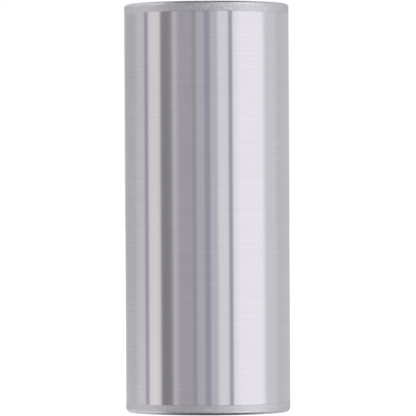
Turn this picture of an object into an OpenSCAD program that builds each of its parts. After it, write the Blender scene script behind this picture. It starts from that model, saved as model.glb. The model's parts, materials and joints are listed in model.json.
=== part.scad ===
// Five-ring cryptex that hides in a plain polished sleeve.
// Origin: centre of the flat underside. +Z runs up the axis, and the index line faces -Y.
// At rest the sleeve is down and every code ring has its gate in line with the lock pins.

/* [Overall] */
// Outside diameter of the sleeve and of both end bands
body_d = 50; // [44:0.5:60]
// Height of each satin end band
band_h = 3; // [2.4:0.1:5]
// Radius of the rounded edge of each end band
band_round = 1.5; // [0.5:0.1:2]
// Radial clearance where one part turns or slides on another
run_gap = 0.05; // [0.03:0.01:0.09]

/* [Sleeve] */
// Wall of the polished sleeve
sleeve_wall = 1.5; // [1:0.1:2]
// Depth that the top bezel's spigot goes into the sleeve
bezel_spigot = 5; // [3:0.5:8]
// Wall of that spigot
bezel_wall = 0.7; // [0.5:0.05:1]
// Gap between the bezel's bore and the rings it passes over
ring_gap = 0.3; // [0.2:0.05:0.6]

/* [Rings] */
// Height of one digit ring
ring_h = 16.6; // [13:0.1:20]
// Thickness of the washer between two rings
washer_t = 1; // [0.8:0.1:2]
// Play above and below each ring
ring_play = 0.1; // [0.05:0.05:0.3]
// Wall of the digit ring
digit_wall = 2.3; // [1.8:0.1:3]
// Wall of the code ring inside it
code_wall = 3.15; // [2.8:0.05:4]
// Positions round one ring
positions = 12; // [6:2:16]
// Depth of the grip flutes between the digits
flute_depth = 0.35; // [0.1:0.05:0.6]

/* [Lock] */
// Diameter of the lock pins
pin_d = 3; // [2:0.1:4]
// Distance that the pins reach past the carrier, into the code rings
pin_reach = 1.4; // [1:0.1:1.8]
// Width of the gate on each side of the pin
gate_gap = 0.6; // [0.3:0.1:1]
// Clearance above and below the pin in its groove, and past its tip
groove_gap = 0.3; // [0.2:0.05:0.6]
// Diameter of the detent balls
ball_d = 2.5; // [2:0.1:3]
// Distance that a seated ball stands out of the carrier
ball_rise = 0.7; // [0.4:0.05:0.9]

/* [Frame] */
// Height of the base, up to the first washer
base_h = 12; // [11:0.5:16]
// Wall of the slotted carrier that the rings turn on
carrier_wall = 4.95; // [4.5:0.05:6]
// Thickness of the carrier's foot
foot_t = 4; // [3:0.5:5]
// Thickness of the base under the core
floor_t = 4; // [3.5:0.5:6]
// Height of the collar that keeps the rings on
collar_h = 6.6; // [5:0.1:10]
// Diameter of the two brass index pins
index_d = 2; // [1:0.1:2.6]
// Shank diameter of the countersunk base screws
base_screw_d = 3; // [2.5:0.5:4]

/* [Core] */
// Height of the pull knob
knob_h = 15; // [10:0.5:20]
// Gap between the knob and the collar
knob_gap = 0.4; // [0.2:0.1:1]
// Wall of the core tube
core_wall = 2.4; // [2:0.1:3]
// Width of the two long windows in the core tube
window_w = 9; // [4:0.5:9]
// Gap round the glass vial
vial_gap = 0.4; // [0.3:0.05:0.8]
// Wall of the glass vial
glass_t = 1; // [0.8:0.1:1.4]

/* [Hidden] */
$fn = 96;

ring_count = 5;
cut = 1;                 // overshoot of every cutting solid
seat_gap = 0.02;         // round a screw or pin that is fixed in its hole

// Directions round the axis, in degrees from +X
front = -90;
back = 90;
key_side = 180;

// Radii, from the outside in
body_r = body_d / 2;
sleeve_bore = body_r - sleeve_wall;
spigot_r = sleeve_bore - run_gap;
bezel_bore = sleeve_bore - bezel_wall;
ring_r = bezel_bore - ring_gap;
digit_bore = ring_r - digit_wall;
code_bore = digit_bore - code_wall;
carrier_r = code_bore - run_gap;
carrier_bore = carrier_r - carrier_wall;
core_r = carrier_bore - run_gap;
core_bore = core_r - core_wall;
vial_r = core_bore - vial_gap;
vial_bore = vial_r - glass_t;
knob_r = ring_r - 0.2;

// Heights, from the ground up
pitch = washer_t + ring_h + 2 * ring_play;
stack_top = base_h + ring_count * pitch + washer_t;
collar_mid = stack_top + collar_h / 2;
collar_top = stack_top + collar_h;
knob_z = collar_top + knob_gap;
body_h = knob_z + knob_h;
foot_z = base_h - foot_t;
core_z = floor_t + 0.5;      // underside of the core
plug_flange = 2.5;
tube_z = core_z + plug_flange;
plug_spigot = 5;
vial_z = tube_z + plug_spigot + 0.3;
boss_depth = 6;              // of the knob in the core tube
boss_z = knob_z - boss_depth;
function ring_z(k) = base_h + washer_t + ring_play + k * pitch;
pin_height = ring_h * 0.27;     // in its ring
ball_height = ring_h * 0.66;
ring_screw_height = ring_h * 0.8;
ring_screw_angle = back + 180 / positions;
function pin_z(k) = ring_z(k) + pin_height;
function ball_z(k) = ring_z(k) + ball_height;

// The lock
pin_r = pin_d / 2;
pin_tip = carrier_r + pin_reach;
groove_r = pin_tip + groove_gap + 0.1;
gate_w = pin_d + 2 * gate_gap;
slot_w = pin_d + 0.2;
ball_r = ball_d / 2;
ball_at = carrier_r + ball_rise - ball_r;    // distance of a ball's centre from the axis
detent_r = ball_r + run_gap;
spring_seat = carrier_bore + 0.8;
key_w = 2.5;
key_depth = 1.2;
small_screw_r = 1.25;

// The base
foot_r = digit_bore - 0.2;
base_screw_at = (carrier_bore + foot_r) / 2;
base_screw_angles = [back, back + 120, back + 240];
collar_screw_angles = [30, 150, back];
head_h = 1.7;
head_sink = 0.2;             // of a screw head under the base's flat underside
head_r = base_screw_d / 2 + head_h * 0.75;
o_ring_r = 0.9;
plug_ring_r = 0.7;
base_o_ring_z = band_h + 3.2;
plug_ring_z = tube_z + 2.6;

// The vial and what it holds
stopper_in = 6;
stopper_top = boss_z - 2.5;
stopper_head = 9.5;
vial_top = stopper_top - stopper_head;
note_gap = 0.6;
note_r = vial_bore - note_gap;
note_hole = 2;
note_z = vial_z + vial_r * 0.8;
note_top = vial_top - stopper_in - 2;

steel = "#c9c9ce";
satin = "#b4b4b8";
dark_steel = "#8b8d91";
brass = "#c9a455";
rubber = "#2b2b2d";

// A ring or disc turned to an outline of [radius, height] points
module turned(points) {
    rotate_extrude() polygon(points);
}

// A plain ring between two radii and two heights
module band(r_out, r_in, z_low, z_high) {
    turned([[r_in, z_low], [r_out, z_low], [r_out, z_high], [r_in, z_high]]);
}

// A round rod pointing away from the axis, from one radius to another
module radial_rod(angle, z, r, from, to) {
    rotate([0, 0, angle]) translate([from, 0, z]) rotate([0, 90, 0]) cylinder(r = r, h = to - from);
}

// A block on a radius, centred on its direction
module radial_block(angle, width, from, to, z_low, z_high) {
    rotate([0, 0, angle])
        translate([from, -width / 2, z_low]) cube([to - from, width, z_high - z_low]);
}

// A rubber ring of round section
module o_ring(r, section_r, z) {
    rotate_extrude() translate([r, z]) circle(r = section_r);
}

// Outline of an end band, its rounded edge downwards
module band_outline(bore) {
    difference() {
        translate([bore, 0]) square([body_r - bore, band_h]);
        difference() {
            translate([body_r - band_round, -cut]) square([band_round + cut, band_round + cut]);
            translate([body_r - band_round, band_round]) circle(r = band_round);
        }
    }
}

// The path that the lock pins take up through the stack
module pin_path(z_low, z_high) {
    radial_block(front, gate_w, carrier_bore, groove_r, z_low, z_high);
}

// A grub screw with a hexagon socket in its outer end
module grub_screw(angle, z, r, tip, end) {
    difference() {
        radial_rod(angle, z, r, tip, end);
        rotate([0, 0, angle]) translate([end - 1, 0, z])
            rotate([0, 90, 0]) cylinder(r = r * 0.55, h = 1 + cut, $fn = 6);
    }
}

module cover_sleeve() {
    color(steel) band(body_r, sleeve_bore, band_h, body_h - band_h);
}

module top_bezel() {
    color(satin) {
        translate([0, 0, body_h]) mirror([0, 0, 1]) rotate_extrude() band_outline(bezel_bore);
        band(sleeve_bore, bezel_bore, body_h - band_h - bezel_spigot, body_h - band_h);
    }
}

module base_cap() {
    shoulder = 0.5;
    color(satin) difference() {
        union() {
            rotate_extrude() band_outline(0);
            turned([[0, band_h], [spigot_r, band_h], [spigot_r, base_h - shoulder],
                    [spigot_r - shoulder, base_h], [0, base_h]]);
        }
        translate([0, 0, foot_z]) cylinder(r = foot_r + seat_gap, h = foot_t + cut);
        translate([0, 0, floor_t]) cylinder(r = core_r + 0.2, h = base_h);
        band(spigot_r + cut, spigot_r - 2 * o_ring_r,
             base_o_ring_z - o_ring_r - 0.2, base_o_ring_z + o_ring_r + 0.2);
        for (a = base_screw_angles) rotate([0, 0, a]) translate([base_screw_at, 0, 0]) {
            translate([0, 0, -cut]) cylinder(r = base_screw_d / 2 + 0.1, h = base_h);
            translate([0, 0, head_sink - seat_gap])
                cylinder(r1 = head_r + seat_gap, r2 = base_screw_d / 2, h = head_h + seat_gap);
            translate([0, 0, -cut]) cylinder(r = head_r + 0.1, h = cut + head_sink);
        }
        radial_rod(front, base_h - 2.2, index_d / 2 + seat_gap, foot_r + 0.4, body_r);
    }
}

module base_o_ring() {
    color(rubber) o_ring(spigot_r - o_ring_r + 0.02, o_ring_r, base_o_ring_z);
}

module base_screws() {
    color(dark_steel)
        for (a = base_screw_angles) rotate([0, 0, a]) translate([base_screw_at, 0, head_sink])
            difference() {
                union() {
                    cylinder(r1 = head_r, r2 = base_screw_d / 2, h = head_h);
                    cylinder(r = base_screw_d / 2, h = base_h - head_sink - 1);
                }
                translate([0, 0, -cut]) cylinder(r = base_screw_d * 0.33, h = cut + 1.1, $fn = 6);
            }
}

module ring_carrier() {
    slot_floor = pin_z(0) - pin_r - groove_gap;
    color(dark_steel) difference() {
        union() {
            band(foot_r, carrier_bore, foot_z, base_h);
            band(carrier_r, carrier_bore, foot_z, collar_top);
        }
        radial_block(front, slot_w, carrier_bore - cut, carrier_r + cut, slot_floor, collar_top + cut);
        radial_block(key_side, key_w, carrier_r - key_depth, carrier_r + cut, base_h, collar_top + cut);
        for (k = [0 : ring_count - 1])
            radial_rod(back, ball_z(k), detent_r, spring_seat, carrier_r + cut);
        for (a = base_screw_angles) rotate([0, 0, a])
            translate([base_screw_at, 0, foot_z - cut])
                cylinder(r = base_screw_d / 2 + seat_gap, h = cut + foot_t - 0.6);
        for (a = collar_screw_angles)
            radial_rod(a, collar_mid, small_screw_r + seat_gap, carrier_r - 0.5, carrier_r + cut);
    }
}

module spacer_washer(k) {
    washer_r = ring_r - 1;
    color(brass) translate([0, 0, base_h + k * pitch]) {
        difference() {
            band(washer_r, carrier_r, 0, washer_t);
            pin_path(-cut, washer_t + cut);
        }
        intersection() {
            radial_block(key_side, key_w - 0.1, carrier_r - key_depth + 0.1, carrier_r + 0.4,
                         0, washer_t);
            cylinder(r = carrier_r + 0.3, h = washer_t);
        }
    }
}

module retaining_collar() {
    edge = 0.8;
    color(satin) difference() {
        turned([[carrier_r, stack_top], [ring_r, stack_top], [ring_r, collar_top - edge],
                [ring_r - edge, collar_top], [carrier_r, collar_top]]);
        pin_path(stack_top - cut, collar_top + cut);
        for (a = collar_screw_angles)
            radial_rod(a, collar_mid, small_screw_r + seat_gap, carrier_r - cut, ring_r + cut);
        radial_rod(front, collar_mid, index_d / 2 + seat_gap, groove_r + 0.5, ring_r + cut);
    }
}

module collar_screws() {
    color(dark_steel) for (a = collar_screw_angles)
        grub_screw(a, collar_mid, small_screw_r, carrier_r - 0.4, ring_r - 0.4);
}

module upper_index_pin() {
    color(brass) radial_rod(front, collar_mid, index_d / 2, groove_r + 0.5, ring_r - 0.05);
}

module lower_index_pin() {
    color(brass) radial_rod(front, base_h - 2.2, index_d / 2, foot_r + 0.4, spigot_r - 0.1);
}

module detent_spring(k) {
    color(dark_steel) difference() {
        radial_rod(back, ball_z(k), ball_r - 0.15, spring_seat, ball_at - ball_r * 0.8);
        translate([0, ball_at, ball_z(k)]) sphere(r = ball_r + seat_gap);
        radial_rod(back, ball_z(k), ball_r - 0.5, spring_seat - cut, ball_at);
    }
}

module detent_ball(k) {
    color(steel) translate([0, ball_at, ball_z(k)]) sphere(r = ball_r);
}

module digit_ring(k) {
    edge = 0.6;
    flute_r = 1.2;
    color(satin) translate([0, 0, ring_z(k)]) difference() {
        turned([[digit_bore, 0], [ring_r - edge, 0], [ring_r, edge], [ring_r, ring_h - edge],
                [ring_r - edge, ring_h], [digit_bore, ring_h]]);
        for (i = [0 : positions - 1]) rotate([0, 0, front + (i + 0.5) * 360 / positions])
            translate([ring_r + flute_r - flute_depth, 0, -cut])
                cylinder(r = flute_r, h = ring_h + 2 * cut);
        radial_rod(ring_screw_angle, ring_screw_height, small_screw_r + seat_gap,
                   digit_bore - cut, ring_r + cut);
    }
}

module code_ring(k) {
    groove_low = pin_height - pin_r - groove_gap;
    screw_tip = digit_bore - 1.2;
    color(brass) translate([0, 0, ring_z(k)]) difference() {
        band(digit_bore, code_bore, 0, ring_h);
        band(groove_r, code_bore - cut, groove_low, groove_low + pin_d + 2 * groove_gap);
        pin_path(-cut, ring_h + cut);
        for (i = [1 : positions - 1]) rotate([0, 0, front + i * 360 / positions])
            translate([ball_at, 0, -cut]) cylinder(r = detent_r, h = ring_h + 2 * cut);
        radial_rod(ring_screw_angle, ring_screw_height, small_screw_r + seat_gap,
                   screw_tip, digit_bore + cut);
    }
}

module ring_screw(k) {
    color(dark_steel) grub_screw(ring_screw_angle, ring_z(k) + ring_screw_height,
                                 small_screw_r, digit_bore - 1.1, ring_r - flute_depth - 0.1);
}

module core_tube() {
    window_low = tube_z + 14;
    window_high = boss_z - 12;
    color(brass) difference() {
        band(core_r, core_bore, tube_z, knob_z);
        for (side = [0, 180]) rotate([0, 0, side]) {
            translate([0, -window_w / 2, window_low + window_w / 2])
                cube([core_r + cut, window_w, window_high - window_low - window_w]);
            for (z = [window_low + window_w / 2, window_high - window_w / 2])
                radial_rod(0, z, window_w / 2, 0, core_r + cut);
        }
        for (k = [0 : ring_count - 1])
            radial_rod(front, pin_z(k), pin_r + seat_gap, 0, core_r + cut);
        radial_rod(back, boss_z + boss_depth / 2, 1 + seat_gap, -core_r - cut, core_r + cut);
    }
}

module lock_pin(k) {
    edge = 0.4;
    color(steel) {
        radial_rod(front, pin_z(k), pin_r, core_bore, pin_tip - edge);
        rotate([0, 0, front]) translate([pin_tip - edge, 0, pin_z(k)])
            rotate([0, 90, 0]) cylinder(r1 = pin_r, r2 = pin_r - edge, h = edge);
    }
}

module pull_knob() {
    edge = 0.8;
    dish_r = knob_r - 4;
    dish = 0.8;
    color(satin) difference() {
        union() {
            turned([[0, knob_z], [knob_r - edge, knob_z], [knob_r, knob_z + edge],
                    [knob_r, body_h - edge], [knob_r - edge, body_h], [dish_r, body_h],
                    [dish_r - dish, body_h - dish], [0, body_h - dish]]);
            translate([0, 0, boss_z]) cylinder(r = core_bore - seat_gap, h = boss_depth);
        }
        radial_rod(back, boss_z + boss_depth / 2, 1 + seat_gap, -core_r, core_r);
    }
}

module knob_pin() {
    color(dark_steel) radial_rod(back, boss_z + boss_depth / 2, 1, 0.1 - core_r, core_r - 0.1);
}

module core_plug() {
    coin_slot_w = 1.6;
    edge = 0.4;
    color(dark_steel) difference() {
        union() {
            turned([[0, core_z], [core_r - edge, core_z], [core_r, core_z + edge],
                    [core_r, tube_z], [0, tube_z]]);
            translate([0, 0, tube_z]) cylinder(r = core_bore - seat_gap, h = plug_spigot);
        }
        band(core_r, core_bore - 2 * plug_ring_r - 0.03,
             plug_ring_z - plug_ring_r - 0.15, plug_ring_z + plug_ring_r + 0.15);
        translate([-core_r - cut, -coin_slot_w / 2, core_z - cut])
            cube([2 * core_r + 2 * cut, coin_slot_w, cut + 1]);
    }
}

module plug_o_ring() {
    color(rubber) o_ring(core_bore - plug_ring_r - 0.01, plug_ring_r, plug_ring_z);
}

module glass_vial() {
    color("#dfe9ea", 0.4) rotate_extrude() difference() {
        union() {
            translate([0, vial_z + vial_r]) square([vial_r, vial_top - vial_z - vial_r]);
            intersection() {
                translate([0, vial_z + vial_r]) circle(r = vial_r);
                translate([0, vial_z]) square([vial_r, vial_r]);
            }
        }
        translate([-cut, vial_z + vial_r]) square([vial_bore + cut, vial_top - vial_z]);
        translate([0, vial_z + vial_r]) circle(r = vial_bore);
    }
}

module vial_stopper() {
    color("#b98a5a") {
        translate([0, 0, vial_top - stopper_in])
            cylinder(r1 = vial_bore - 0.4, r2 = vial_bore - seat_gap, h = stopper_in);
        translate([0, 0, vial_top]) cylinder(r = vial_r - 0.2, h = stopper_head);
    }
}

module note_scroll() {
    color("#e6d9b8") band(note_r, note_hole, note_z, note_top);
}

cover_sleeve();
top_bezel();
base_cap();
base_o_ring();
ring_carrier();
base_screws();
for (k = [0 : ring_count])
    spacer_washer(k);
retaining_collar();
collar_screws();
upper_index_pin();
lower_index_pin();
for (k = [0 : ring_count - 1]) {
    detent_spring(k);
    detent_ball(k);
    digit_ring(k);
    code_ring(k);
    ring_screw(k);
    lock_pin(k);
}
core_tube();
pull_knob();
knob_pin();
core_plug();
plug_o_ring();
glass_vial();
vial_stopper();
note_scroll();
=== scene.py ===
"""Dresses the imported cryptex: a polished sleeve over numbered rings, a carrier and a pull-out core."""

import functools
import json
import math

import bmesh
import bpy
from bpy.props import FloatProperty, FloatVectorProperty, IntProperty, IntVectorProperty, PointerProperty
from mathutils import Matrix, Vector


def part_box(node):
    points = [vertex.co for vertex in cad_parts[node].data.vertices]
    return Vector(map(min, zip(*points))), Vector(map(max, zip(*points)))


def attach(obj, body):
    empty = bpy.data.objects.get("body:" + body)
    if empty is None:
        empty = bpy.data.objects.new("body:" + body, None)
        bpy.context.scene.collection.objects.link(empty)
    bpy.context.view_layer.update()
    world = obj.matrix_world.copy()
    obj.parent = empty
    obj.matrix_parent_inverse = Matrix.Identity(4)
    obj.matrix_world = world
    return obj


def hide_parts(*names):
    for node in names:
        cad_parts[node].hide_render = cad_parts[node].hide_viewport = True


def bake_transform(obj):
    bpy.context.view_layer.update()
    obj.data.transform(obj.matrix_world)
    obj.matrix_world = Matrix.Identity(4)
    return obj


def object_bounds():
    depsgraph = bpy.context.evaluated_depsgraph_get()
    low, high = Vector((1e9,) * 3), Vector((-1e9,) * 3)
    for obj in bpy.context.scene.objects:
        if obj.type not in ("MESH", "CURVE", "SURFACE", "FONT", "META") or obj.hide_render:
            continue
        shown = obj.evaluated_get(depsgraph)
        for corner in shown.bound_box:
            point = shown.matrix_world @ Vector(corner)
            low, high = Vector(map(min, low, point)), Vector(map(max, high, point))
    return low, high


bl_info = {
    "name": "Sleeved Cryptex",
    "version": (1, 0, 0),
    "blender": (4, 5, 0),
    "location": "3D View > Sidebar > Cryptex",
    "description": "Builds a polished combination cryptex round its packed frame",
    "category": "Object",
}

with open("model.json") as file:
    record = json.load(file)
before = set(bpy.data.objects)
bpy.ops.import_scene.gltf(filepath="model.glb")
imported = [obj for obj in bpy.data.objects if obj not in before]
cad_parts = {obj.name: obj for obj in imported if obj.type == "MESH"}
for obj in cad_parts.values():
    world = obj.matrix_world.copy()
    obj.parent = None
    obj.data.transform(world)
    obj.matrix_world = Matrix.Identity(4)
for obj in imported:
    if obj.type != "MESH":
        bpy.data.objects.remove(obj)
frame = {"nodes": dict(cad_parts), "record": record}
CAD_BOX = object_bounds()
MM = 0.001
FRONT = -math.pi / 2
BACK = math.pi / 2
RINGS = range(1, 6)
ROUND = 256                     # sides of a turned part
SMALL_ROUND = 48                # sides of a screw or pin
SLIP = 0.02 * MM                # gap between parts that are pushed together
GRUB_HOLE = 1.27 * MM           # radius of the holes that the grub screws stand in
COLLAR_HOLES = (30, 150, 90)    # degrees round the collar, one for each of its screws
PIN_NOTCH = 4.2 * MM            # width of the collar's notch, which the lock pins pass
VIAL_ROOM = 0.6 * MM            # between the rolled note and the vial's bore


class Span:
    """How far a node reaches from the axis and from the ground."""

    def __init__(self, node):
        points = [v.co for v in frame["nodes"][node].data.vertices]
        radii = [math.hypot(p.x, p.y) for p in points]
        self.r_in, self.r_out = min(radii), max(radii)
        self.low, self.high = min(p.z for p in points), max(p.z for p in points)
        self.mid = (self.low + self.high) / 2
        self.half = (self.high - self.low) / 2
        self.wall = self.r_out - self.r_in


# ---------------------------------------------------------------- node trees


class Wire:
    """An output socket that can be used in arithmetic. Each operation adds a Math node."""

    def __init__(self, net, socket):
        self.net, self.socket = net, socket

    def math(self, operation, *others):
        return self.net.math(operation, self, *others)

    def __add__(self, other):
        return self.math("ADD", other)

    def __sub__(self, other):
        return self.math("SUBTRACT", other)

    def __mul__(self, other):
        return self.math("MULTIPLY", other)

    def __truediv__(self, other):
        return self.math("DIVIDE", other)

    def __mod__(self, other):
        return self.math("FLOORED_MODULO", other)

    def __pow__(self, other):
        return self.math("POWER", other)

    def __rsub__(self, other):
        return self.net.math("SUBTRACT", other, self)

    def __rtruediv__(self, other):
        return self.net.math("DIVIDE", other, self)

    __radd__ = __add__
    __rmul__ = __mul__

    def within(self, low, high):
        """0 up to low, 1 from high on, and eased between them."""
        return self.net.node(
            "ShaderNodeMapRange", {"Value": self, "From Min": low, "From Max": high},
            interpolation_type="SMOOTHSTEP")["Result"]


class Placed:
    """A node in a tree, read by the names of its outputs."""

    def __init__(self, net, node):
        self.net, self.node = net, node

    def __getitem__(self, key):
        return Wire(self.net, self.net.find(self.node.outputs, key))


class Net:
    """A node tree that is being built."""

    def __init__(self, tree):
        self.tree = tree

    @staticmethod
    def find(sockets, key):
        if isinstance(key, int):
            return sockets[key]
        return next(s for s in sockets if s.name == key and s.enabled)

    def feed(self, socket, value):
        if isinstance(value, Wire):
            self.tree.links.new(value.socket, socket)
        else:
            socket.default_value = value

    def node(self, kind, inputs=None, **settings):
        """Adds a node, with its settings first and then the values or links of its sockets."""
        made = self.tree.nodes.new(kind)
        for name, value in settings.items():
            setattr(made, name, value)
        for key, value in (inputs or {}).items():
            self.feed(self.find(made.inputs, key), value)
        return Placed(self, made)

    def math(self, operation, *values):
        """A Math node on wires and numbers."""
        return self.node("ShaderNodeMath", dict(enumerate(values)), operation=operation)[0]

    def mix(self, factor, a, b):
        """Colour a where factor is 0 and b where it is 1."""
        return self.node("ShaderNodeMix", {"Factor": factor, "A": a, "B": b}, data_type="RGBA")["Result"]

    def split(self, vector):
        """The node that gives a vector's X, Y and Z."""
        return self.node("ShaderNodeSeparateXYZ", {"Vector": vector})

    def vector(self, x, y, z):
        return self.node("ShaderNodeCombineXYZ", {"X": x, "Y": y, "Z": z})["Vector"]


def grey(level):
    return (level, level, level, 1)


def rgba(colour, gain=1.0):
    return (*(min(c * gain, 1) for c in colour), 1)


# ---------------------------------------------------------------- settings


def length_setting(name, description, default, low, high):
    """A length that the user can change, with its default and limits in millimetres."""
    return FloatProperty(name=name, description=description, default=default * MM, min=low * MM,
                         max=high * MM, subtype="DISTANCE", unit="LENGTH")


def colour_setting(name, description, default):
    """A colour that the user can change."""
    return FloatVectorProperty(name=name, description=description, default=default, size=3, min=0, max=1,
                               subtype="COLOR")


class CryptexSizes(bpy.types.PropertyGroup):
    """Sizes of the details that the frame leaves open."""

    edge_break: length_setting("Edge Break", "Radius that blunts a turned edge", 0.12, 0.02, 0.4)
    seam_break: length_setting("Seam Break", "Radius of the edges between sleeve and band", 0.07, 0.02, 0.3)
    band_round: length_setting("Band Round", "Radius of the outer edge of both end bands", 1.5, 0.5, 2)
    engraving: length_setting("Engraving Depth", "Depth of the numbers under a ring's face", 0.28, 0.1, 0.5)
    numeral: length_setting("Numeral Height", "Height of the numbers on the rings", 8.2, 4, 12)
    positions: IntProperty(name="Positions", description="Numbers round one ring", default=12, min=6, max=16)
    code: IntVectorProperty(
        name="Code", description="Number at the front of each ring, from the foot up, that opens the lock",
        size=5, default=(7, 3, 11, 2, 9), min=1, max=16)
    knurls: IntProperty(
        name="Knurls", description="Diamonds round the knob's grip", default=72, min=24, max=120)
    knurl_depth: length_setting("Knurl Depth", "Depth of the knob's knurling", 0.42, 0.1, 0.8)
    paper: length_setting("Paper", "Thickness of the rolled note's paper", 0.16, 0.05, 0.4)


class CryptexFinish(bpy.types.PropertyGroup):
    """Colours of the finishes."""

    steel: colour_setting("Polished Steel", "Reflected colour of the sleeve", (0.815, 0.786, 0.855))
    satin: colour_setting("Satin Steel", "Reflected colour of the end bands and rings", (0.815, 0.782, 0.86))
    dark_steel: colour_setting("Oiled Steel", "Reflected colour of carrier and screws", (0.30, 0.31, 0.33))
    brass: colour_setting("Brass", "Reflected colour of the brass parts", (0.80, 0.60, 0.28))
    enamel: colour_setting("Enamel", "Colour that fills the engraved numbers", (0.012, 0.012, 0.014))
    cork: colour_setting("Cork", "Main colour of the stopper", (0.42, 0.24, 0.11))
    paper: colour_setting("Paper", "Colour of the rolled note", (0.82, 0.66, 0.40))


class CryptexStage(bpy.types.PropertyGroup):
    """The camera and the studio."""

    distance: FloatProperty(
        name="Camera Distance", description="From the camera to the axis",
        default=1.275, min=0.3, max=5, subtype="DISTANCE", unit="LENGTH")
    lens: FloatProperty(
        name="Lens", description="Focal length in millimetres", default=362.4, min=50, max=600)
    lean: FloatProperty(
        name="Camera Lean", description="How far the camera rolls about its line of sight",
        default=math.radians(0.29), subtype="ANGLE", unit="ROTATION")
    wall: FloatProperty(
        name="Wall Light", description="Brightness of the studio wall that the metal reflects",
        default=1.0, min=0)


def sizes():
    return bpy.context.scene.cryptex_sizes


# ---------------------------------------------------------------- materials


def new_material(name):
    """An empty material and the net that fills it."""
    material = bpy.data.materials.new(name)
    material.use_nodes = True
    material.node_tree.nodes.clear()
    return material, Net(material.node_tree)


def dress(material, net, inputs, height=None, depth=0.0):
    """Gives the material a principled surface with those inputs, over a bump of that depth in metres."""
    shader = net.node("ShaderNodeBsdfPrincipled", inputs)
    if height:
        bump = net.node("ShaderNodeBump", {"Height": height, "Distance": depth, "Strength": 1.0})
        net.feed(shader.node.inputs["Normal"], bump["Normal"])
    net.node("ShaderNodeOutputMaterial", {"Surface": shader["BSDF"]})
    return material


def millimetres(net, stretch=1):
    """Object coordinates in millimetres, scaled by one number or by one for each axis."""
    scale = stretch if isinstance(stretch, tuple) else (stretch,) * 3
    place = net.node("ShaderNodeTexCoord")["Object"]
    return net.node("ShaderNodeMapping", {"Vector": place, "Scale": tuple(s / MM for s in scale)})["Vector"]


def noise(net, vector, detail=3.0, roughness=0.55):
    """Noise between 0 and 1, about one grain for each unit of the vector."""
    return net.node("ShaderNodeTexNoise", {
        "Vector": vector, "Scale": 1.0, "Detail": detail, "Roughness": roughness})["Fac"]


def grains(net, fineness, detail=3.0, roughness=0.55):
    """Noise with that many grains for each millimetre, the same every way or one number for each axis."""
    return noise(net, millimetres(net, fineness), detail, roughness)


def height_of(net):
    """Height above the ground in millimetres."""
    return net.split(millimetres(net))["Z"]


def turning_lines(net, fineness):
    """Fine lines that run round the axis on walls and round the centre on end faces."""
    radius = net.node("ShaderNodeVectorMath", {0: millimetres(net, (1, 1, 0))}, operation="LENGTH")["Value"]
    along = net.vector(radius * fineness, 0.0, height_of(net) * fineness)
    drift = millimetres(net, (0.05, 0.05, 0))
    return noise(net, net.node("ShaderNodeVectorMath", {0: along, 1: drift}, operation="ADD")["Vector"], 2.0)


def polished_steel(colour):
    """Cylinder-ground steel: hair-fine lines round the axis draw each reflection out along it."""
    material, net = new_material("ground_steel")
    hair = grains(net, (0.02, 0.02, 7))
    lines = grains(net, (0.06, 0.06, 2.4), roughness=0.6)
    chatter = grains(net, (0.9, 0.9, 0.006))
    handled = grains(net, (0.06, 0.06, 0.045)).within(0.5, 0.75)
    tone = net.mix(lines.within(0.25, 0.75), rgba(colour, 0.966), rgba(colour, 1.03))
    tone = net.mix(chatter * 0.5, tone, rgba(colour, 0.96))
    return dress(material, net, {
        "Base Color": tone, "Metallic": 1.0, "Anisotropic": 0.93, "Anisotropic Rotation": 0.25,
        "Roughness": 0.115 + hair * 0.02 + lines * 0.03 + handled * 0.035,
    }, hair * 0.5 + lines + chatter * 0.6, 0.0012 * MM)


def satin_steel(colour):
    """Turned and then fine-blasted steel with a sparkling matt grain, rubbed smoother on the round rims."""
    material, net = new_material("blasted_steel")
    lines = turning_lines(net, 7.0)
    blast = grains(net, 1.9, 4.0, 0.7)
    stain = grains(net, 0.09, 4.0)
    tone = net.mix(stain.within(0.35, 0.7), rgba(colour, 0.96), rgba(colour, 1.03))
    tone = net.mix(blast.within(0.35, 0.7), rgba(colour, 0.87), net.mix(0.5, tone, rgba(colour, 1.4)))
    half = (CAD_BOX[1].z - CAD_BOX[0].z) / 2 / MM
    rim = (height_of(net) - half).math("ABSOLUTE").within(half - 1.5, half - 0.7)
    return dress(material, net, {
        "Base Color": tone, "Metallic": 1.0, "Roughness": 0.37 + lines * 0.1 + blast * 0.16 - rim * 0.24,
    }, lines * 0.3 + blast, 0.02 * MM)


def turned_steel(colour):
    """Steel left fine-turned: the tool's lines run round the axis and draw highlights across them."""
    material, net = new_material("turned_steel")
    lines = turning_lines(net, 5.0)
    feed = turning_lines(net, 1.6)
    stain = grains(net, 0.1, 4.0)
    tone = net.mix(stain.within(0.3, 0.7), rgba(colour, 0.9), rgba(colour, 0.98))
    tone = net.mix(lines.within(0.3, 0.7), tone, rgba(colour, 1.05))
    return dress(material, net, {
        "Base Color": tone, "Metallic": 1.0, "Anisotropic": 0.65, "Anisotropic Rotation": 0.25,
        "Roughness": 0.25 + lines * 0.08 + stain * 0.08,
    }, lines * 0.5 + feed, 0.006 * MM)


def oiled_steel(colour):
    """Machined steel under a thin film of oil."""
    material, net = new_material("oiled_steel")
    lines = turning_lines(net, 5.0)
    film = grains(net, 0.2)
    return dress(material, net, {
        "Base Color": net.mix(film, rgba(colour, 0.8), rgba(colour, 1.2)), "Metallic": 1.0,
        "Roughness": 0.24 + lines * 0.1 + film * 0.1, "Coat Weight": 0.25, "Coat Roughness": 0.12,
    }, lines, 0.003 * MM)


def hard_steel(colour):
    """Hardened pins, balls and springs."""
    material, net = new_material("hardened_steel")
    grain = grains(net, 4)
    return dress(material, net, {
        "Base Color": net.mix(grain, rgba(colour, 0.9), rgba(colour, 1.05)), "Metallic": 1.0,
        "Roughness": 0.14 + grain * 0.12,
    }, grain, 0.002 * MM)


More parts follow.
